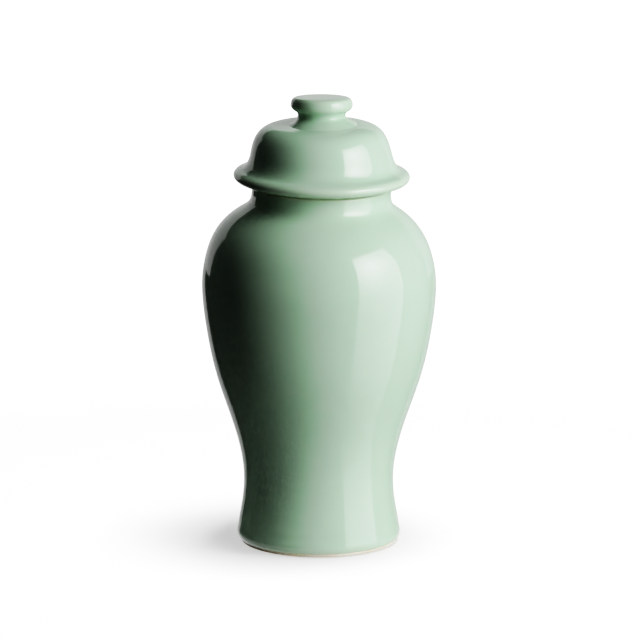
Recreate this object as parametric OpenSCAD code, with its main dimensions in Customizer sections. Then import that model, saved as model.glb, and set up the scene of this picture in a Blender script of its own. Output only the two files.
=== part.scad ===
// Lidded ginger jar in glazed stoneware: a thrown vessel on a turned foot ring, and a loose
// domed lid with a locating collar inside and a button knob on top.
// +Z is up, and the origin is the centre of the plane that the foot ring stands on.

/* [Jar] */
// Height of the rim above the plane that the jar stands on
rim_z = 280; // [276:1:290]
// Diameter at the widest place, on the shoulder
belly_d = 179.4; // [170:0.2:190]
// Height of the widest place
belly_z = 204; // [196:1:208]
// Diameter at the narrowest place, above the foot
waist_d = 115.2; // [110:0.2:120]
// Height of the narrowest place
waist_z = 50; // [46:1:56]
// Diameter of the flared foot
foot_d = 126; // [122:1:134]
// Outer diameter of the neck
neck_d = 106.6; // [102:0.2:110]
// Thickness of the jar's wall
wall = 5.5; // [4:0.5:6.5]
// Thickness of the jar's floor
floor_t = 7; // [5:1:9]

/* [Foot ring] */
// Height of the ring, which is also the depth of the recess inside it
foot_h = 5; // [4:0.5:7]
// Width of the ring
foot_ring_w = 9; // [7:0.5:12]

/* [Lid] */
// Diameter of the rolled lip
lip_d = 135; // [131:1:139]
// Height of the rolled lip
lip_h = 10; // [8:0.5:11]
// Diameter of the dome above the sweep of its lip
dome_d = 108.2; // [106:0.2:110]
// Height of the crown, where the knob is luted on, above the rim
crown_h = 45.2; // [43:0.1:47]
// Thickness of the dome's wall
lid_wall = 5; // [4:0.5:5.5]

/* [Collar inside the lid] */
// Gap all round between the collar and the inside of the neck
collar_gap = 1.8; // [1:0.1:3]
// How far the collar reaches down into the neck
collar_depth = 12; // [8:1:16]
// Thickness of the collar
collar_wall = 4.5; // [3.5:0.5:5.5]

/* [Knob] */
// Diameter of the button
knob_d = 47.4; // [45:0.2:50]
// Diameter of the stem under the button, at its narrowest
stem_d = 36; // [33:0.5:38]
// Diameter of the stem where it is luted to the crown
stem_base_d = 51; // [47:0.5:54]
// Height of the whole knob above the crown
knob_h = 20.2; // [19:0.2:23]

/* [Hidden] */

GLAZE = [0.66, 0.78, 0.69];
BARE_CLAY = [0.84, 0.80, 0.71];

$fn = 96;
// Straight pieces in the jar's outline, in the dome and in a small round
OUTLINE = 40;
DOME = 16;
ROUND = 5;

belly_r = belly_d / 2;
waist_r = waist_d / 2;
foot_r = foot_d / 2;
neck_r = neck_d / 2;
bore_r = neck_r - wall;
foot_in_r = foot_r - foot_ring_w;
lip_r = lip_d / 2;
dome_r = dome_d / 2;
knob_r = knob_d / 2;
stem_r = stem_d / 2;
stem_base_r = stem_base_d / 2;

floor_z = foot_h + floor_t;
lip_top_z = rim_z + lip_h;
crown_z = rim_z + crown_h;

// Rounds on the rim, and on the foot ring's outer and inner edges
rim_round = 1.5;
foot_round = 2.2;
foot_in_round = 1;

// A smooth curve is drawn by its control points: it starts at the first, heads for the second,
// and ends at the last, coming from the one before it. It is a clamped cubic spline.
function knot(i, n) = min(max(i - 3, 0), n - 3);
function ratio(a, b) = b == 0 ? 0 : a / b;
function weight(i, t, n, degree = 3) =
    degree == 0
    ? (knot(i, n) <= t && t < knot(i + 1, n) ? 1 : 0)
    : ratio(t - knot(i, n), knot(i + degree, n) - knot(i, n)) * weight(i, t, n, degree - 1)
      + ratio(knot(i + degree + 1, n) - t, knot(i + degree + 1, n) - knot(i + 1, n))
        * weight(i + 1, t, n, degree - 1);

// Point on the curve, where u runs from 0 to 1
function on_curve(points, u) =
    let (n = len(points), t = u * (n - 3))
    u < 1 ? [for (i = [0 : n - 1]) weight(i, t, n)] * points : points[n - 1];

function unit(v) = v / norm(v);

// Direction of the curve
function heading(points, u) =
    unit(on_curve(points, min(u + 0.001, 1)) - on_curve(points, max(u - 0.001, 0)));

// Point beside the curve, off to the left of its heading
function beside(points, u, off) =
    let (h = heading(points, u)) on_curve(points, u) + off * [-h[1], h[0]];

// The curve as n points, without its last one, or the line that far beside it
function curve(points, n, off = 0, from = 0, to = 1) =
    [for (i = [0 : n - 1]) beside(points, from + (to - from) * i / n, off)];

// Elliptical round about the centre c, without its last point
function round_off(c, rx, rz, a0, a1, n) =
    [for (i = [0 : n - 1]) let (a = a0 + (a1 - a0) * i / n) c + [rx * cos(a), rz * sin(a)]];

function reversed(list) = [for (i = [len(list) - 1 : -1 : 0]) list[i]];

// Outline of the jar from the foot up to the neck, as [radius, height]
shoulder_r = neck_r + 9.2;
shoulder_z = rim_z - 22;
outline = [
    [foot_r, foot_h],
    [foot_r - 1, foot_h + 10],
    [waist_r - 0.1, waist_z - 16],
    [waist_r - 0.6, waist_z + 12],
    [waist_r + 8.4, waist_z + 45],
    [belly_r - 10.2, belly_z - 74],
    [belly_r - 3.2, belly_z - 39],
    [belly_r + 0.3, belly_z - 11],
    [belly_r + 0.3, belly_z + 12.5],
    [belly_r - 9.7, shoulder_z - 11],
    [shoulder_r, shoulder_z]
];
neck_z = rim_z - 8.3;
neck_curve = [
    [shoulder_r, shoulder_z],
    [shoulder_r, shoulder_z] + 7 * heading(outline, 1),
    [neck_r, neck_z - 8.2],
    [neck_r, neck_z]
];

// The inside follows the outline down to this part of its length, then sweeps in to the floor
floor_u = 0.12;
floor_start = beside(outline, floor_u, wall);
floor_curve = [
    floor_start,
    floor_start - 7 * heading(outline, floor_u),
    [floor_start[0] - 6, floor_z],
    [floor_start[0] - 16, floor_z]
];

// The dome leans in from the start, and its crown is level where it meets the knob
dome_z = lip_top_z + 12;
dome_lean = [-0.21, 1];
dome_curve = [
    [dome_r, dome_z],
    [dome_r, dome_z] + 17.5 * dome_lean,
    [stem_base_r + 19.5, crown_z],
    [stem_base_r, crown_z]
];

// The lip is an elliptical roll, and a wide hollow sweeps from it up into the dome
lip_rx = 8.2;
lip_centre = [lip_r - lip_rx, rim_z + lip_h / 2];
sweep_angle = 68;
sweep_start = lip_centre + [lip_rx * cos(sweep_angle), lip_h / 2 * sin(sweep_angle)];
sweep_curve = [
    sweep_start,
    sweep_start + 4 * unit([-lip_rx * sin(sweep_angle), lip_h / 2 * cos(sweep_angle)]),
    [dome_r, dome_z] - 7.5 * dome_lean,
    [dome_r, dome_z]
];
// Where the dome's inside starts, above the straight bore that the collar is luted into
dome_inside = beside(dome_curve, 0, lid_wall);

// The knob's stem flares widely down to the crown, and up into the button's underside
stem_waist_z = crown_z + 0.34 * knob_h;
button_low_z = crown_z + 0.52 * knob_h;
button_top_z = crown_z + knob_h;
stem_curve = [
    [stem_base_r, crown_z],
    [stem_base_r - 3, crown_z + 0.6],
    [stem_r + 0.3, stem_waist_z - 3.7],
    [stem_r, stem_waist_z]
];
underside_curve = [
    [stem_r, stem_waist_z],
    [stem_r, stem_waist_z + 1.6],
    [knob_r - 3.6, button_low_z - 1.5],
    [knob_r - 1.5, button_low_z]
];
side_curve = [
    [knob_r - 1.5, button_low_z],
    [knob_r - 0.4, button_low_z + 0.9],
    [knob_r, button_low_z + 2.1],
    [knob_r, button_low_z + 3.7]
];
edge_curve = [
    [knob_r, button_low_z + 3.7],
    [knob_r, button_low_z + 6.3],
    [knob_r - 1.1, button_top_z - 0.8],
    [knob_r - 3.6, button_top_z - 0.4]
];

// The thrown vessel: its floor, flared foot, waist, belly, shoulder and open neck
module jar_body() {
    color(GLAZE)
        rotate_extrude()
            polygon(concat(
                [[0, foot_h]],
                curve(outline, OUTLINE),
                curve(neck_curve, ROUND),
                [[neck_r, neck_z]],
                round_off([neck_r - rim_round, rim_z - rim_round], rim_round, rim_round, 0, 90, ROUND),
                [[neck_r - rim_round, rim_z]],
                round_off([bore_r + rim_round, rim_z - rim_round], rim_round, rim_round, 90, 180, ROUND),
                [[bore_r, rim_z - rim_round]],
                [[bore_r, neck_z]],
                reversed(curve(neck_curve, ROUND, wall)),
                reversed(curve(outline, OUTLINE, wall, from = floor_u)),
                [for (i = [1 : ROUND]) on_curve(floor_curve, i / ROUND)],
                [[0, floor_z]]
            ));
}

// The turned ring that the jar stands on, with rounded edges
module foot_ring() {
    color(BARE_CLAY)
        rotate_extrude()
            polygon(concat(
                round_off([foot_r - foot_round, foot_round], foot_round, foot_round, -90, 0, ROUND),
                [[foot_r, foot_round]],
                [[foot_r, foot_h]],
                [[foot_in_r, foot_h]],
                round_off([foot_in_r + foot_in_round, foot_in_round], foot_in_round, foot_in_round,
                          180, 270, ROUND),
                [[foot_in_r + foot_in_round, 0]]
            ));
}

// The dome of the lid with its rolled lip, which rests flat on the rim
module lid_dome() {
    color(GLAZE)
        rotate_extrude()
            polygon(concat(
                [[dome_inside[0], rim_z]],
                round_off(lip_centre, lip_rx, lip_h / 2, -90, sweep_angle, 2 * ROUND),
                curve(sweep_curve, 2 * ROUND),
                curve(dome_curve, DOME),
                [[stem_base_r, crown_z]],
                [[0, crown_z]],
                [[0, crown_z - lid_wall]],
                [[stem_base_r, crown_z - lid_wall]],
                reversed(curve(dome_curve, DOME, lid_wall, to = 0.97))
            ));
}

// The locating collar, luted into the lid's bore and hanging down into the neck
module lid_collar() {
    collar_r = bore_r - collar_gap;
    collar_in_r = collar_r - collar_wall;
    collar_low_z = rim_z - collar_depth;
    collar_top_z = lip_top_z;
    collar_round = 1.2;
    color(BARE_CLAY)
        rotate_extrude()
            polygon(concat(
                [[dome_inside[0], rim_z]],
                [[dome_inside[0], collar_top_z]],
                curve([
                    [dome_inside[0] - 0.8, collar_top_z],
                    [dome_inside[0] - 2, collar_top_z - 5],
                    [collar_in_r, rim_z + 6],
                    [collar_in_r, rim_z]
                ], ROUND),
                [[collar_in_r, rim_z]],
                round_off([collar_in_r + collar_round, collar_low_z + collar_round],
                          collar_round, collar_round, 180, 270, ROUND),
                round_off([collar_r - collar_round, collar_low_z + collar_round],
                          collar_round, collar_round, 270, 360, ROUND),
                [[collar_r, collar_low_z + collar_round]],
                [[collar_r, rim_z]]
            ));
}

// The button knob on its flared stem, luted to the crown
module lid_knob() {
    color(GLAZE)
        rotate_extrude()
            polygon(concat(
                [[0, crown_z]],
                curve(stem_curve, ROUND),
                curve(underside_curve, ROUND),
                curve(side_curve, ROUND),
                curve(edge_curve, ROUND),
                [[knob_r - 3.6, button_top_z - 0.4]],
                [[knob_r - 9, button_top_z - 0.1]],
                [[0, button_top_z]]
            ));
}

jar_body();
foot_ring();
lid_dome();
lid_collar();
lid_knob();
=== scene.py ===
import math

import bpy
import numpy as np
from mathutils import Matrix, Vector


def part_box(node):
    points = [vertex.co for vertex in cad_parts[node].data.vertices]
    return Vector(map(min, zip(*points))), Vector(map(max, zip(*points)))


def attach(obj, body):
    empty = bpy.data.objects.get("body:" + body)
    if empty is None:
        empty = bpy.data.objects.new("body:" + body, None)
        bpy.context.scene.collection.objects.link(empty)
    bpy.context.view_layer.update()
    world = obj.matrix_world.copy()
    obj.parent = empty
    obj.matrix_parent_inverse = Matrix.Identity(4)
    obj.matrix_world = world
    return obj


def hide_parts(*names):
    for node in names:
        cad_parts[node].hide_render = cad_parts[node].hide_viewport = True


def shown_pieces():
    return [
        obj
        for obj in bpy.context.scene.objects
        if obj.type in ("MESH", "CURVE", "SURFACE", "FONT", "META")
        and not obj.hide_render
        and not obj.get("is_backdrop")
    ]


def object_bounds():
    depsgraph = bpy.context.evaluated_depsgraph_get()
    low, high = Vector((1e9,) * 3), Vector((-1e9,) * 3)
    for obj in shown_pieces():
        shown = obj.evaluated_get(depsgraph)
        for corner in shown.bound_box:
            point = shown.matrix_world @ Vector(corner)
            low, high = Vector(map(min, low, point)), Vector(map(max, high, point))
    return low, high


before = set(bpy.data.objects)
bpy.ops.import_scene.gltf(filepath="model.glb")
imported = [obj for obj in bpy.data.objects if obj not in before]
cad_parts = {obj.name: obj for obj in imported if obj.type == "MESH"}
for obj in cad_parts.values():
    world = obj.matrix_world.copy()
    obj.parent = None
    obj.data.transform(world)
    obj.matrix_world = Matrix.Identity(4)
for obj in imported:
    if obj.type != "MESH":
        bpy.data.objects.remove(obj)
cad_low, cad_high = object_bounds()

# Lidded ginger jar in celadon glaze. Lengths are in metres, angles in degrees. Each piece is
# turned from the outline of the CAD node that it replaces, then given what the kiln and the
# potter's hands give it: a rolled glaze edge, bare clay where the pot stands and where the lid
# sits, and a little lean and tilt.

MM = 0.001
ON_AXIS = 0.01 * MM

foot_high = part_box("foot_ring")[1]
body_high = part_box("jar_body")[1]
knob_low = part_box("lid_knob")[0]
FOOT_R = foot_high.x
FOOT_H = foot_high.z
RIM_Z = body_high.z
CROWN_Z = knob_low.z
LIP_THICKNESS = 10 * MM
LIP_TOP_Z = RIM_Z + LIP_THICKNESS


# ---------------------------------------------------------------- outlines

def outline_of(node):
    """The outline that a CAD node was turned from, as rows of (radius, height) in order.

    It starts at the open end that lies furthest out, or anywhere if it is a closed loop."""
    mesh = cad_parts[node].data
    points = np.empty(len(mesh.vertices) * 3, np.float32)
    mesh.vertices.foreach_get("co", points)
    points = points.reshape(-1, 3).astype(float)
    rings = np.column_stack([np.hypot(points[:, 0], points[:, 1]), points[:, 2]])
    same = 0.04 * MM
    found = []
    ring_of = np.empty(len(rings), int)
    for i, ring in enumerate(rings):
        near = [k for k, other in enumerate(found) if abs(ring - other).max() < same]
        if not near:
            found.append(ring)
            near = [len(found) - 1]
        ring_of[i] = near[0]
    beside = {k: set() for k in range(len(found))}
    for edge in mesh.edges:
        a, b = ring_of[edge.vertices[0]], ring_of[edge.vertices[1]]
        if a != b:
            beside[a].add(b)
            beside[b].add(a)
    ends = [k for k in beside if len(beside[k]) == 1]
    order = [max(ends or beside, key=lambda k: found[k][0])]
    while True:
        onward = [k for k in sorted(beside[order[-1]]) if k not in order]
        if not onward:
            return np.array([found[k] for k in order])
        order.append(onward[0])


def without_midpoints(points):
    """The outline without the points that lie on a straight line between their neighbours.
    The CAD mesh has one halfway along many of its facets, where the true curve is further out."""
    straight = 0.004 * MM
    kept = [points[0]]
    for point, after in zip(points[1:-1], points[2:]):
        along = (after - kept[-1]) / np.linalg.norm(after - kept[-1])
        offset = point - kept[-1]
        if abs(along[0] * offset[1] - along[1] * offset[0]) > straight:
            kept.append(point)
    return np.array(kept + [points[-1]])


def spline(points, step):
    """Points every step or so along the natural cubic spline through the given points."""
    lengths = np.linalg.norm(np.diff(points, axis=0), axis=1)
    along = np.concatenate([[0], np.cumsum(lengths)])
    n = len(points)
    places = np.linspace(0, along[-1], max(2, math.ceil(along[-1] / step) + 1))
    if n == 2:
        return points[0] + (places / along[-1])[:, None] * (points[1] - points[0])
    matrix = np.eye(n)
    right = np.zeros((n, 2))
    for i in range(1, n - 1):
        h0, h1 = lengths[i - 1], lengths[i]
        matrix[i, i - 1:i + 2] = h0, 2 * (h0 + h1), h1
        right[i] = 6 * ((points[i + 1] - points[i]) / h1 - (points[i] - points[i - 1]) / h0)
    bend = np.linalg.solve(matrix, right)
    i = np.clip(np.searchsorted(along, places, side="right") - 1, 0, n - 2)
    h = lengths[i][:, None]
    s = (places - along[i])[:, None]
    a, b = points[i], points[i + 1]
    ma, mb = bend[i], bend[i + 1]
    slope = (b - a) / h - h * (2 * ma + mb) / 6
    return a + s * slope + s ** 2 * ma / 2 + s ** 3 * (mb - ma) / (6 * h)


def blurred(rows, times):
    """The rows, each mixed with its neighbours that many times. The first and last stay."""
    for _ in range(times):
        rows[1:-1] = rows[1:-1] / 2 + (rows[:-2] + rows[2:]) / 4
    return rows


def faired(points, step, corner=40, jump=3.5, blur=3):
    """The outline as a smooth curve: a spline through each stretch that has no corner and no
    sudden change of spacing, with its joins then blurred a little, as glaze rounds them."""
    headings = np.diff(points, axis=0)
    lengths = np.linalg.norm(headings, axis=1)
    headings = headings / lengths[:, None]
    cuts = [0]
    for i in range(1, len(points) - 1):
        turn = math.degrees(math.acos(np.clip(headings[i - 1] @ headings[i], -1, 1)))
        ratio = max(lengths[i - 1] / lengths[i], lengths[i] / lengths[i - 1])
        if turn > corner or ratio > jump:
            cuts.append(i)
    cuts.append(len(points) - 1)
    stretches = [spline(points[a:b + 1], step)[:-1] for a, b in zip(cuts, cuts[1:])]
    return blurred(np.vstack(stretches + [points[-1:]]), blur)


def arc(centre, radius, start, end, count):
    """Points on an arc, at angles in degrees."""
    angles = np.radians(np.linspace(start, end, count))
    return np.asarray(centre) + radius * np.column_stack([np.cos(angles), np.sin(angles)])


# ---------------------------------------------------------------- the potter's hand

def ramp(low, high, x):
    """0 on low's side, 1 on high's side, and smooth between."""
    t = np.clip((x - low) / (high - low), 0, 1)
    return t * t * (3 - 2 * t)


def slope_of(degrees):
    """How far a line at this angle falls over 1 m."""
    return math.tan(math.radians(degrees))


# Heights where the fired pot's lean and tilt change.
WAIST_Z = 60 * MM
BELLY_Z = 160 * MM
TILT_Z = 195 * MM
SHOULDER_Z = 240 * MM
NECK_Z = RIM_Z - 18 * MM
DOME_TOP_Z = CROWN_Z - 4 * MM
STEM_Z = CROWN_Z + 8 * MM

# Shifts to the right.
LEAN_BODY = 0.4 * MM
LEAN_NECK = 2.0 * MM
LEAN_CROWN = -0.9 * MM

# How much lower the lid sits at the right and in front, as slopes.
TILT_SIDE = slope_of(0.95)
TILT_FRONT = slope_of(2.0)

# Shares of those slopes that are taken back higher up. LEVEL is for the side's, in three steps
# that add up, of which the last gives some of it again. BACK is for the front's.
LEVEL_DOME = 1.3
LEVEL_CROWN = 0.6
LEVEL_STEM = -1.2
BACK_BUTTON = 1.65

# Out of round: an oval and three lobes, which twist as they climb.
OVAL = 0.05 * MM
LOBES = 0.035 * MM


def settle(points):
    """Moves points as the fired pot stands: the shoulder and neck lean a little to the right,
    and the neck's top is tilted, so the lid's lip is lower at the right and in front. Sideways,
    the crown dips a little to the left instead and the button is nearly level. The button tips
    back too. It acts on every piece alike, so what touches in CAD still touches."""
    x, y, z = points.T
    turn = np.arctan2(y, x)
    wobble = OVAL * np.sin(2 * turn + 40 * z + 0.6) + LOBES * np.sin(3 * turn - 65 * z)
    radius = np.maximum(np.hypot(x, y), 1e-9)
    swell = 1 + wobble * ramp(0, 50 * MM, radius) / radius

    dome, stem = ramp(LIP_TOP_Z, DOME_TOP_Z, z), ramp(CROWN_Z, STEM_Z, z)
    lean = LEAN_BODY * ramp(WAIST_Z, BELLY_Z, z) + LEAN_NECK * ramp(SHOULDER_Z, RIM_Z, z)
    lean += LEAN_CROWN * (dome - stem)

    lid = ramp(TILT_Z, NECK_Z, z)
    crown = ramp(CROWN_Z - 1.5 * MM, CROWN_Z, z)
    level = LEVEL_DOME * dome + LEVEL_CROWN * crown + LEVEL_STEM * stem
    back = BACK_BUTTON * ramp(CROWN_Z + 4 * MM, CROWN_Z + 12 * MM, z)
    drop = x * TILT_SIDE * lid * (1 - level) - y * TILT_FRONT * lid * (1 - back)
    return np.column_stack([x * swell + lean, y * swell, z - drop])


# ---------------------------------------------------------------- turning

def turned(name, outline, segments, reshape=None):
    """A mesh piece turned from an outline about the z axis. An end on the axis is one vertex,
    and an outline whose ends meet is closed. Where the outline climbs, its faces look outwards.
    The piece carries one number at each vertex, thin: how much glaze has drawn back from a
    convex edge (towards 1) or pooled in a hollow (towards 0). reshape(points) may move the
    points before the pot settles."""
    closed = np.allclose(outline[0], outline[-1])
    rings = outline[:-1] if closed else outline
    turn = np.arange(segments) * 2 * math.pi / segments
    vertices, thin, first = [], [], []
    for (radius, height), value in zip(rings, thinness(rings, closed)):
        first.append(len(vertices))
        if radius < ON_AXIS:
            vertices.append((0, 0, height))
            thin.append(value)
        else:
            vertices.extend(zip(radius * np.cos(turn), radius * np.sin(turn), np.full(segments, height)))
            thin.extend([value] * segments)
    points = np.array(vertices, float)
    if reshape is not None:
        points = reshape(points)
    mesh = bpy.data.meshes.new(name)
    mesh.from_pydata(settle(points).tolist(), [], faces_between(rings, first, segments, closed))
    mesh.attributes.new("thin", "FLOAT", "POINT").data.foreach_set("value", np.array(thin, np.float32))
    mesh.shade_smooth()
    mesh.validate()
    piece = bpy.data.objects.new(name, mesh)
    bpy.context.scene.collection.objects.link(piece)
    return piece


def faces_between(rings, first, segments, closed):
    """The faces between each ring and the next: quads, or triangles round a point on the axis.
    first holds the number of each ring's first vertex."""
    faces = []
    for a in range(len(rings) if closed else len(rings) - 1):
        b = (a + 1) % len(rings)
        single_a, single_b = rings[a][0] < ON_AXIS, rings[b][0] < ON_AXIS
        for i in range(segments):
            j = (i + 1) % segments
            corners = [first[a] + (0 if single_a else i)]
            if not single_a:
                corners.append(first[a] + j)
            corners.append(first[b] + (0 if single_b else j))
            if not single_b:
                corners.append(first[b] + i)
            faces.append(corners)
    return faces


def thinness(rings, closed):
    """How thin the glaze lies at each point of an outline, from its curvature: 1 on a sharp
    convex edge, 0.5 where it is straight, 0 in a tight hollow."""
    if closed:
        before, after = np.roll(rings, 1, axis=0), np.roll(rings, -1, axis=0)
    else:
        before = np.vstack([rings[:1], rings[:-1]])
        after = np.vstack([rings[1:], rings[-1:]])
    into, out = rings - before, after - rings
    length_in, length_out = np.linalg.norm(into, axis=1), np.linalg.norm(out, axis=1)
    cross = into[:, 0] * out[:, 1] - into[:, 1] * out[:, 0]
    with np.errstate(divide="ignore", invalid="ignore"):
        bend = np.nan_to_num(2 * cross / ((length_in + length_out) * length_in * length_out))
    full_radius = 3 * MM
    return np.clip(0.5 + 0.5 * blurred(bend, 6) * full_radius, 0, 1)


def two_materials(piece, glaze, clay, is_bare):
    """Gives a piece both materials, with bare clay on the faces that is_bare picks."""
    piece.data.materials.append(glaze)
    piece.data.materials.append(clay)
    for face in piece.data.polygons:
        face.material_index = 1 if is_bare(face) else 0


# ---------------------------------------------------------------- materials

def feed(tree, socket, value):
    """Gives a socket its value, or links it to the output that feeds it."""
    if isinstance(value, bpy.types.NodeSocket):
        tree.links.new(value, socket)
    else:
        socket.default_value = value


def add(tree, kind, inputs=None, **settings):
    """Adds a node. An input is a value, or the output that feeds it."""
    made = tree.nodes.new(kind)
    for key, value in settings.items():
        setattr(made, key, value)
    for key, value in (inputs or {}).items():
        feed(tree, made.inputs[key], value)
    return made


def empty_tree(owner):
    """The node tree of a material or world, with nothing in it."""
    owner.use_nodes = True
    owner.node_tree.nodes.clear()
    return owner.node_tree


def new_material(name):
    """An empty material, with its Principled shader and the object's own coordinates."""
    material = bpy.data.materials.new(name)
    tree = empty_tree(material)
    shader = add(tree, "ShaderNodeBsdfPrincipled")
    add(tree, "ShaderNodeOutputMaterial", {"Surface": shader.outputs["BSDF"]})
    place = add(tree, "ShaderNodeTexCoord").outputs["Object"]
    return material, tree, shader, place


def noise(tree, place, scale, detail=2.0, roughness=0.5):
    """Smooth noise, about 0.3 to 0.7, whose features are about 1 / scale metres across."""
    return add(tree, "ShaderNodeTexNoise", {"Vector": place, "Scale": scale, "Detail": detail,
                                            "Roughness": roughness}).outputs["Fac"]


def mapped(tree, value, low, high, to_low, to_high):
    """The value, with low to high stretched to to_low to to_high, and held past them."""
    return add(tree, "ShaderNodeMapRange", {"Value": value, "From Min": low, "From Max": high,
                                            "To Min": to_low, "To Max": to_high}).outputs["Result"]


def mixed(tree, factor, a, b):
    """Colour a, giving way to colour b as the factor goes from 0 to 1."""
    made = add(tree, "ShaderNodeMix", {0: factor, 6: a, 7: b}, data_type="RGBA")
    return made.outputs[2]


def worked(tree, operation, a, b=0.0):
    """The result of a Math node."""
    return add(tree, "ShaderNodeMath", {0: a, 1: b}, operation=operation).outputs[0]


def total(tree, *parts):
    """The sum of some (output, share) pairs."""
    shares = [worked(tree, "MULTIPLY", output, share) for output, share in parts]
    result = shares[0]
    for share in shares[1:]:
        result = worked(tree, "ADD", result, share)
    return result


def turning_rings(tree, place, pitch, wander):
    """Fine turning rings: noise along z only, which a slow noise in all directions breaks up."""
    parts = add(tree, "ShaderNodeSeparateXYZ", {"Vector": place})
    drift = worked(tree, "MULTIPLY", noise(tree, place, 12, 1), wander)
    height = worked(tree, "ADD", parts.outputs["Z"], drift)
    line = add(tree, "ShaderNodeCombineXYZ", {"Z": height})
    return noise(tree, line.outputs["Vector"], 1 / pitch, 3, 0.6)


GLAZE_POOLED = (0.335, 0.530, 0.365, 1)
GLAZE = (0.430, 0.625, 0.460, 1)
GLAZE_THIN = (0.545, 0.640, 0.480, 1)
# Painted shade: the dark green that fills the pinholes stands in for the shade inside them.
PIT_SHADE = (0.16, 0.19, 0.13, 1)
GLAZE_IOR = 1.5

# The glaze's features: how many to a metre, and the pitch of the rings and how far they wander.
CLOUDS = 16
PIT_CELLS = 42
DULL_PATCHES = 60
RIPPLES = 70
MOTTLE = 110
ORANGE_PEEL = 420
RING_PITCH = 5 * MM
RING_WANDER = 3 * MM


def pinholes(tree, place):
    """Small round pits in a few of the cells of a loose pattern: 1 in a pit, 0 elsewhere."""
    cells = add(tree, "ShaderNodeTexVoronoi", {"Vector": place, "Scale": PIT_CELLS})
    chosen = mapped(tree, cells.outputs["Color"], 0.80, 0.82, 0, 1)
    pit = mapped(tree, cells.outputs["Distance"], 0.012, 0.022, 1, 0)
    return worked(tree, "MULTIPLY", chosen, pit)


def celadon():
    """Glossy celadon: a clear green glaze over pale stoneware, deeper where it pools and paler
    where it thins, with slow drifts of tone, turning rings, orange peel and a few pinholes, whose dark
    colour is painted shade."""
    material, tree, shader, place = new_material("celadon_glaze")
    thin = add(tree, "ShaderNodeAttribute", attribute_name="thin").outputs["Fac"]
    cloud = noise(tree, place, CLOUDS, 3)
    mottle = noise(tree, place, MOTTLE, 2)
    rings = turning_rings(tree, place, RING_PITCH, RING_WANDER)
    pits = pinholes(tree, place)

    tone = mixed(tree, mapped(tree, cloud, 0.35, 0.65, 0, 0.22), GLAZE, GLAZE_POOLED)
    tone = mixed(tree, mapped(tree, mottle, 0.4, 0.7, 0, 0.10), tone, GLAZE_THIN)
    tone = mixed(tree, mapped(tree, rings, 0.45, 0.75, 0, 0.05), tone, GLAZE_THIN)
    tone = mixed(tree, mapped(tree, thin, 0.60, 1.0, 0, 0.40), tone, GLAZE_THIN)
    tone = mixed(tree, mapped(tree, thin, 0.44, 0.10, 0, 0.65), tone, GLAZE_POOLED)
    # Painted shade in the pinholes: each pit is darkened towards a deep green.
    tone = mixed(tree, worked(tree, "MULTIPLY", pits, 0.55), tone, PIT_SHADE)
    feed(tree, shader.inputs["Base Color"], tone)

    rough = mapped(tree, noise(tree, place, DULL_PATCHES, 2), 0.3, 0.7, 0.045, 0.07)
    feed(tree, shader.inputs["Roughness"], rough)
    shader.inputs["IOR"].default_value = GLAZE_IOR
    shader.inputs["Subsurface Weight"].default_value = 0.12
    shader.inputs["Subsurface Radius"].default_value = (0.8, 1.0, 0.8)
    shader.inputs["Subsurface Scale"].default_value = 1.5 * MM

    peel = noise(tree, place, ORANGE_PEEL, 1)
    ripple = noise(tree, place, RIPPLES, 1)
    height = total(tree, (peel, 0.05), (ripple, 0.12), (rings, 0.012), (pits, -0.6))
    bump = add(tree, "ShaderNodeBump", {"Height": height, "Strength": 0.25, "Distance": 0.3 * MM})
    feed(tree, shader.inputs["Normal"], bump.outputs["Normal"])
    return material


CLAY = (0.720, 0.620, 0.460, 1)
CLAY_PALE = (0.820, 0.760, 0.620, 1)
CLAY_DARK = (0.430, 0.320, 0.200, 1)

# The clay's features: how many to a metre.
BLUSHES = 45
GROG = 420
SAND = 1500


def bare_clay():
    """Unglazed stoneware: matt and sandy, cream to tan, with darker grog and a toasted blush."""
    material, tree, shader, place = new_material("bare_clay")
    blush = noise(tree, place, BLUSHES, 3)
    sand = noise(tree, place, SAND, 2, 0.7)
    grog = add(tree, "ShaderNodeTexVoronoi", {"Vector": place, "Scale": GROG}).outputs["Distance"]
    tone = mixed(tree, mapped(tree, blush, 0.35, 0.65, 0, 1), CLAY, CLAY_PALE)
    tone = mixed(tree, mapped(tree, sand, 0.45, 0.75, 0, 0.5), tone, CLAY_PALE)
    tone = mixed(tree, mapped(tree, grog, 0.10, 0.22, 0.6, 0), tone, CLAY_DARK)
    feed(tree, shader.inputs["Base Color"], tone)
    feed(tree, shader.inputs["Roughness"], mapped(tree, sand, 0.3, 0.7, 0.72, 0.9))
    height = total(tree, (sand, 1.0), (grog, 0.5))
    bump = add(tree, "ShaderNodeBump", {"Height": height, "Strength": 0.5, "Distance": 0.15 * MM})
    feed(tree, shader.inputs["Normal"], bump.outputs["Normal"])
    return material


# ---------------------------------------------------------------- pieces

# At the foot: where the glaze ends, and the width of the bevel under it.
GLAZE_EDGE_Z = 2.1 * MM
BEVEL = 2.6 * MM

# At the rim: the height of its step, and the bare part of it.
STEP_Z = RIM_Z - 2.9 * MM
BARE_Z = STEP_Z + 0.7 * MM

# Under the lip: the ring that sits on the rim.
SEAT_R = 53 * MM
SEAT_HALF_WIDTH = 4.5 * MM

# How far off centre the knob's foot was pressed on.
LUTED_RIGHT = 2.2 * MM
LUTED_FORWARD = 4 * MM


def rolled_foot():
    """The outline of the glaze's rolled edge, from its underside up to the flare of the foot."""
    shares_of_bevel = np.array([0.60, 0.30, 0.10, 0.02])
    rises = np.array([0.9, 2.2, 3.9, 5.6]) * MM
    return np.vstack([
        [FOOT_R - BEVEL - 0.45 * MM, FOOT_H],
        [FOOT_R - BEVEL - 0.45 * MM, GLAZE_EDGE_Z + 0.3 * MM],
        [FOOT_R - BEVEL - 0.25 * MM, GLAZE_EDGE_Z],
        [FOOT_R - BEVEL + 0.2 * MM, GLAZE_EDGE_Z + 0.1 * MM],
        np.column_stack([FOOT_R - shares_of_bevel * BEVEL, GLAZE_EDGE_Z + rises]),
    ])


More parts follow.
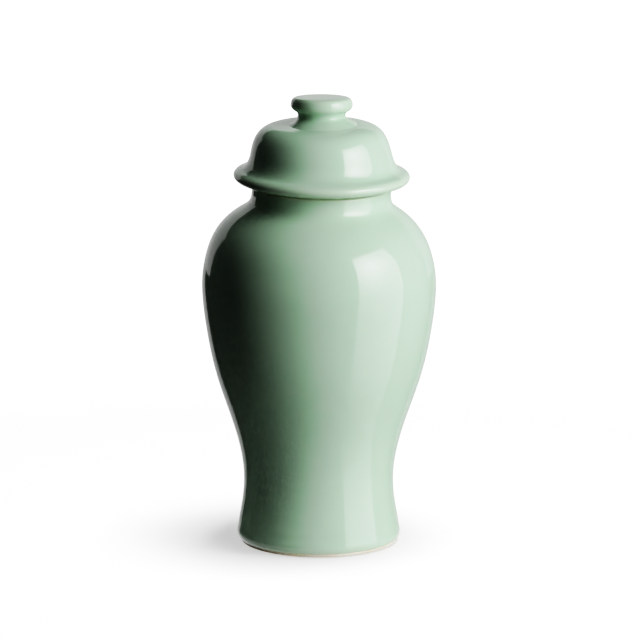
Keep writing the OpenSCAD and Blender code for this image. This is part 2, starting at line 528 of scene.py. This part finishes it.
def stepped_rim(neck_r):
    """The outline of the rim, where the neck steps in under the lid's lip."""
    return np.array([
        [neck_r, STEP_Z - 1.3 * MM],
        [neck_r - 0.05 * MM, STEP_Z - 0.7 * MM],
        [neck_r - 0.30 * MM, STEP_Z - 0.25 * MM],
        [neck_r - 0.80 * MM, STEP_Z],
        [neck_r - 1.60 * MM, STEP_Z - 0.1 * MM],
        [neck_r - 2.40 * MM, STEP_Z + 0.1 * MM],
        [neck_r - 2.75 * MM, STEP_Z + 0.8 * MM],
        [neck_r - 2.80 * MM, RIM_Z - 0.9 * MM],
        [neck_r - 3.00 * MM, RIM_Z - 0.3 * MM],
        [neck_r - 3.40 * MM, RIM_Z - 0.05 * MM],
    ])


def wavy_edge(points):
    """The dipped glaze ends in a slightly uneven line."""
    turn = np.arctan2(points[:, 1], points[:, 0])
    wave = 0.19 * np.sin(2 * turn + 0.7) + 0.15 * np.sin(5 * turn + 2) + 0.09 * np.sin(11 * turn)
    outside = np.hypot(points[:, 0], points[:, 1]) > FOOT_R - 1.9 * MM
    points[:, 2] += wave * MM * outside * ramp(7 * MM, 2.2 * MM, points[:, 2])
    return points


def make_jar(glaze, clay):
    """The vessel, from the rolled edge of its glaze at the foot, up over the rim and down
    inside. The rim is stepped in and wiped bare, or the lid would fuse to it in the kiln."""
    cad = outline_of("jar_body")
    cad = cad[cad[:, 1] > FOOT_H + 4 * MM]
    neck_end = int(np.argmax(cad[:, 1] > STEP_Z - 1.5 * MM))
    rim_end = int(np.argmax(cad[:, 1] > RIM_Z - 0.05 * MM)) + 1
    neck_r = cad[neck_end - 1][0]

    wall = np.vstack([rolled_foot(), without_midpoints(cad[:neck_end])])
    wall = faired(wall, 1 * MM, blur=4)
    rim = np.vstack([wall[-1:], stepped_rim(neck_r), cad[rim_end:rim_end + 1]])
    rim = faired(rim, 0.35 * MM, corner=60, blur=2)
    inside = faired(cad[rim_end:], 4 * MM)
    outline = np.vstack([[[0, FOOT_H]], wall[:-1], rim[:-1], inside, [[0, inside[-1][1]]]])

    def is_bare(face):
        """The wiped rim, whose edge follows the neck's tilt."""
        x, y, z = face.center
        return z + x * TILT_SIDE - y * TILT_FRONT > BARE_Z

    piece = turned("jar_vessel", outline, segments=240, reshape=wavy_edge)
    two_materials(piece, glaze, clay, is_bare)
    return piece


def make_foot(clay):
    """The bare foot ring, with its outer edge turned to a round bevel and its inner one eased."""
    inner_r = outline_of("foot_ring")[:, 0].min()
    outer_r = FOOT_R - BEVEL - 0.1 * MM
    ease = 1 * MM
    bevel = 2.2 * MM
    outline = np.vstack([
        [[inner_r, FOOT_H], [inner_r, 3 * MM], [inner_r, ease + 0.2 * MM]],
        arc((inner_r + ease, ease), ease, 180, 270, 6),
        [[inner_r + ease + 1.5 * MM, 0], [outer_r - bevel - 1.4 * MM, 0]],
        arc((outer_r - bevel, bevel), bevel, 270, 360, 9),
        [[outer_r, bevel + 1.4 * MM], [outer_r, FOOT_H - 0.05 * MM]],
        [[inner_r + 3 * MM, FOOT_H - 0.02 * MM], [inner_r, FOOT_H]],
    ])
    piece = turned("foot_ring_clay", outline, segments=256)
    piece.data.materials.append(clay)
    return piece


def make_dome(glaze, clay):
    """The lid's dome and rolled lip, glazed inside and out, with a bare seat under the lip."""
    cad = outline_of("lid_dome")
    if cad[0][1] < cad[-1][1]:
        cad = cad[::-1]
    tip = int(np.argmax(cad[:, 0]))
    seat = tip + int(np.argmin(cad[tip:, 1] > RIM_Z + 0.02 * MM))
    outside = faired(without_midpoints(cad[:seat + 1]), 0.7 * MM)
    inside = faired(cad[seat:], 2.2 * MM)
    outline = np.vstack([[[0, cad[0][1]]], outside[:-1], inside, [[0, cad[-1][1]]]])[::-1]

    def is_bare(face):
        """The seat: a flat ring that faces down, round the middle of the leaning neck."""
        from_middle = math.hypot(face.center.x - LEAN_BODY - LEAN_NECK, face.center.y)
        faces_down = face.normal.z < -0.97
        return faces_down and abs(from_middle - SEAT_R) < SEAT_HALF_WIDTH

    piece = turned("lid_dome_glazed", outline, segments=256)
    two_materials(piece, glaze, clay, is_bare)
    return piece


def make_collar(clay):
    """The lid's bare locating collar, which hangs into the neck."""
    cad = outline_of("lid_collar")
    start = int(np.argmax(cad[:, 1]))
    loop = np.vstack([np.roll(cad, -start, axis=0), cad[start:start + 1]])
    smooth = faired(loop, 1 * MM, blur=2)
    area = np.sum(smooth[:-1, 0] * smooth[1:, 1] - smooth[1:, 0] * smooth[:-1, 1])
    outline = smooth if area > 0 else smooth[::-1]
    piece = turned("lid_collar_clay", outline, segments=192)
    piece.data.materials.append(clay)
    return piece


def luted(points):
    """The stem was pressed on off centre, so its flare is wider in front and at the right."""
    low_down = ramp(CROWN_Z + 6 * MM, CROWN_Z + 1.5 * MM, points[:, 2])
    points[:, 0] += LUTED_RIGHT * low_down
    points[:, 1] -= LUTED_FORWARD * low_down
    return points


def make_knob(glaze):
    """The button knob on its flared stem, which ends in a thin lap of slip on the crown. The
    flare, the button's underside and its top are a little higher than in CAD."""
    cad = outline_of("lid_knob")
    if cad[0][1] > cad[-1][1]:
        cad = cad[::-1]
    lap = cad[0] + np.array([[1.2, -0.35], [0.5, 0.1]]) * MM
    shape = cad[1:].copy()
    z = shape[:, 1] - CROWN_Z
    flare = ramp(0, 0.6 * MM, z) - ramp(2 * MM, 4.5 * MM, z)
    underside = ramp(7.2 * MM, 8.6 * MM, z) - ramp(11.5 * MM, 14.5 * MM, z)
    top = ramp(12 * MM, 19 * MM, z)
    shape[:, 1] += (0.7 * flare + 0.5 * underside + 0.4 * top) * MM
    smooth = faired(np.vstack([lap, shape]), 0.45 * MM, blur=8)
    outline = np.vstack([[[0, CROWN_Z], cad[0]], smooth])
    piece = turned("lid_knob_glazed", outline, segments=192, reshape=luted)
    piece.data.materials.append(glaze)
    return piece


glaze, clay = celadon(), bare_clay()
for piece, body, node, slot in (
    (make_jar(glaze, clay), "jar", "jar_body", "celadon_glaze"),
    (make_foot(clay), "jar", "foot_ring", "bare_clay"),
    (make_dome(glaze, clay), "lid", "lid_dome", "celadon_glaze"),
    (make_collar(clay), "lid", "lid_collar", "bare_clay"),
    (make_knob(glaze), "lid", "lid_knob", "celadon_glaze"),
):
    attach(piece, body)
    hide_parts(node)


# ---------------------------------------------------------------- studio

MIDDLE = Vector((0, 0, (cad_low.z + cad_high.z) / 2))


def direction(azimuth, elevation):
    """Unit vector from the jar. Azimuth 0 is towards the camera, and grows to the right."""
    a, e = math.radians(azimuth), math.radians(elevation)
    return Vector((math.sin(a) * math.cos(e), -math.cos(a) * math.cos(e), math.sin(e)))


def rectangle(name, half_w, half_h, z, material):
    """A flat rectangle at height z, centred on the z axis, which is part of the studio."""
    corners = [(-half_w, -half_h, z), (half_w, -half_h, z), (half_w, half_h, z), (-half_w, half_h, z)]
    mesh = bpy.data.meshes.new(name)
    mesh.from_pydata(corners, [], [(0, 1, 2, 3)])
    mesh.materials.append(material)
    made = bpy.data.objects.new(name, mesh)
    bpy.context.scene.collection.objects.link(made)
    made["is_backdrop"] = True
    return made


def glow(name, half_h, radiance, low, hot):
    """A card's light. low is its radiance at the bottom edge, where that is less. hot is the
    place of a soft bright spot, in metres from the card's middle, its width, and how much
    it adds."""
    material = bpy.data.materials.new(name)
    tree = empty_tree(material)
    place = add(tree, "ShaderNodeTexCoord").outputs["Object"]
    strength = radiance
    if low is not None:
        parts = add(tree, "ShaderNodeSeparateXYZ", {"Vector": place})
        strength = mapped(tree, parts.outputs["Y"], -half_h, half_h / 2, low, radiance)
    if hot is not None:
        centre, width, extra = hot
        away = add(tree, "ShaderNodeVectorMath", {0: place, 1: (*centre, 0)}, operation="DISTANCE")
        squared = worked(tree, "POWER", worked(tree, "DIVIDE", away.outputs["Value"], width), 2)
        spot = worked(tree, "EXPONENT", worked(tree, "MULTIPLY", squared, -0.5))
        strength = worked(tree, "ADD", worked(tree, "MULTIPLY", spot, extra), strength)
    light = add(tree, "ShaderNodeEmission", {"Strength": strength})
    add(tree, "ShaderNodeOutputMaterial", {"Surface": light.outputs["Emission"]})
    return material


def card(name, azimuth, elevation, distance, size, radiance, low=None, hot=None,
         glossy=True, diffuse=True):
    """A glowing rectangle that faces the jar and that the camera can't see."""
    half_w, half_h = size[0] / 2, size[1] / 2
    made = rectangle(name, half_w, half_h, 0, glow(name, half_h, radiance, low, hot))
    made.location = MIDDLE + direction(azimuth, elevation) * distance
    made.rotation_euler = direction(azimuth, elevation).to_track_quat("Z", "Y").to_euler()
    made.visible_camera = False
    made.visible_shadow = False
    made.visible_glossy = glossy
    made.visible_diffuse = diffuse
    return made


def floor_shader(name, albedo, light, fade=None):
    """Matt floor, with some light of its own. fade is the radius where it starts to give way
    to the backdrop's white, and the one where it has gone."""
    material = bpy.data.materials.new(name)
    tree = empty_tree(material)
    matt = add(tree, "ShaderNodeBsdfDiffuse", {"Color": (*albedo, 1)})
    own = add(tree, "ShaderNodeEmission", {"Strength": light})
    both = add(tree, "ShaderNodeAddShader", {0: matt.outputs["BSDF"], 1: own.outputs["Emission"]})
    surface = both.outputs["Shader"]
    if fade is not None:
        place = add(tree, "ShaderNodeTexCoord").outputs["Object"]
        away = add(tree, "ShaderNodeVectorMath", {0: place}, operation="LENGTH").outputs["Value"]
        gone = mapped(tree, away, *fade, 0, 1)
        clear = add(tree, "ShaderNodeBsdfTransparent").outputs["BSDF"]
        surface = add(tree, "ShaderNodeMixShader", {0: gone, 1: surface, 2: clear}).outputs["Shader"]
    add(tree, "ShaderNodeOutputMaterial", {"Surface": surface})
    return material


def floor(name, half, z, material, camera=False, diffuse=False, glossy=False):
    """A square of floor that casts no shadow, and that only the rays set to True see."""
    made = rectangle(name, half, half, z, material)
    made.visible_camera = camera
    made.visible_diffuse = diffuse
    made.visible_glossy = glossy
    made.visible_shadow = False
    return made


def light_only(lights, name, things):
    """Makes the lights reach these things and nothing else."""
    lit = bpy.data.collections.new(name)
    for thing in things:
        lit.objects.link(thing)
    for light in lights:
        light.light_linking.receiver_collection = lit


studio = [
    card("softbox", azimuth=63, elevation=-2, distance=1.2, size=(1.12, 2.5), radiance=2.7,
         low=0.3, hot=((-0.17, 0.69), 0.28, 6.0)),
    card("backdrop", azimuth=180, elevation=12, distance=2.0, size=(4.2, 1.3), radiance=0.42),
    card("backdrop_foot", azimuth=180, elevation=-24, distance=2.0, size=(2.45, 1.4), radiance=0.33,
         diffuse=False),
    card("side_fill", azimuth=-150, elevation=20, distance=1.8, size=(1.0, 1.6), radiance=0.36,
         glossy=False),
    card("back_fill", azimuth=180, elevation=15, distance=1.8, size=(1.4, 1.4), radiance=1.2,
         glossy=False),
    card("top_fill", azimuth=90, elevation=76, distance=1.6, size=(1.0, 1.0), radiance=0.45,
         glossy=False),
]
floor_light = card("floor_light", azimuth=75, elevation=83, distance=1.6, size=(0.74, 0.74),
                   radiance=32.1, glossy=False)

# Three floors share the work: the camera sees one, one sends light back up to the jar, and one
# shows as a reflection in the glaze close to the foot.
seen = floor("floor", half=1.0, z=-0.05 * MM, camera=True,
             material=floor_shader("floor_white", (0.81, 0.8, 0.805), light=0.33, fade=(0.45, 0.75)))
bounce = floor("floor_bounce", half=0.13, z=-0.1 * MM, diffuse=True,
               material=floor_shader("floor_pale", (0.53, 0.53, 0.53), light=0.0))
floor("floor_gleam", half=0.11, z=-0.15 * MM, glossy=True,
      material=floor_shader("floor_glow", (0, 0, 0), light=0.5, fade=(0.066, 0.105)))

light_only([floor_light], "lit_by_floor_light", [seen])
light_only(studio, "lit_by_studio", [*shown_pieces(), bounce])


# ---------------------------------------------------------------- world

# The camera sees white paper behind the jar, and a pale grey room from the other side. For
# everything else it is nearly dark beyond the cards.
PAPER = 2.0
ROOM = 0.78
UNLIT = 0.012


def make_world():
    """What the camera sees beyond the floor, and what little light comes from there."""
    world = bpy.data.worlds.new("studio")
    bpy.context.scene.world = world
    tree = empty_tree(world)
    outward = add(tree, "ShaderNodeTexCoord").outputs["Generated"]
    away = add(tree, "ShaderNodeSeparateXYZ", {"Vector": outward}).outputs["Y"]
    shown = mapped(tree, away, 0.1, 0.5, ROOM, PAPER)
    white = (1, 1, 1, 1)
    backdrop = add(tree, "ShaderNodeBackground", {"Color": white, "Strength": shown}).outputs[0]
    dark = add(tree, "ShaderNodeBackground", {"Color": white, "Strength": UNLIT}).outputs[0]
    to_camera = add(tree, "ShaderNodeLightPath").outputs["Is Camera Ray"]
    choice = add(tree, "ShaderNodeMixShader", {0: to_camera, 1: dark, 2: backdrop})
    add(tree, "ShaderNodeOutputWorld", {"Surface": choice.outputs["Shader"]})


make_world()


# ---------------------------------------------------------------- camera

CAMERA_ELEVATION = 11.47
CAMERA_DISTANCE = 3.4515
CAMERA_LENS = 253.1
CAMERA_SENSOR = 36
AIM = Vector((1.15 * MM, 0, MIDDLE.z))


def make_camera():
    """A long lens, level sideways, looking a little down on the jar."""
    camera_data = bpy.data.cameras.new("camera")
    camera_data.lens = CAMERA_LENS
    camera_data.sensor_width = CAMERA_SENSOR
    camera_data.clip_end = 50
    camera = bpy.data.objects.new("camera", camera_data)
    bpy.context.scene.collection.objects.link(camera)
    camera.location = AIM + direction(0, CAMERA_ELEVATION) * CAMERA_DISTANCE
    camera.rotation_euler = direction(0, CAMERA_ELEVATION).to_track_quat("Z", "Y").to_euler()
    bpy.context.scene.camera = camera


make_camera()

# The print's tone: a soft toe, bright middle tones and a long shoulder up to paper white, as
# (scene light, light on the print).
PAPER_WHITE = 1.6
TONE = (
    (0.012, 0.0085), (0.033, 0.034), (0.096, 0.16), (0.192, 0.38), (0.294, 0.515),
    (0.393, 0.62), (0.60, 0.77), (0.87, 0.863), (1.32, 0.965), (PAPER_WHITE, 1.0),
)


def set_tone():
    """Gives the render the print's tone."""
    view = bpy.context.scene.view_settings
    view.view_transform = "Standard"
    view.use_curve_mapping = True
    view.curve_mapping.white_level = (PAPER_WHITE,) * 3
    view.curve_mapping.extend = "HORIZONTAL"
    tone_curve = view.curve_mapping.curves[3]
    tone_curve.points[1].location = (1, 1)
    for light, shown in TONE[:-1]:
        tone_curve.points.new(light / PAPER_WHITE, shown)
    view.curve_mapping.update()


set_tone()

bpy.context.view_layer.update()
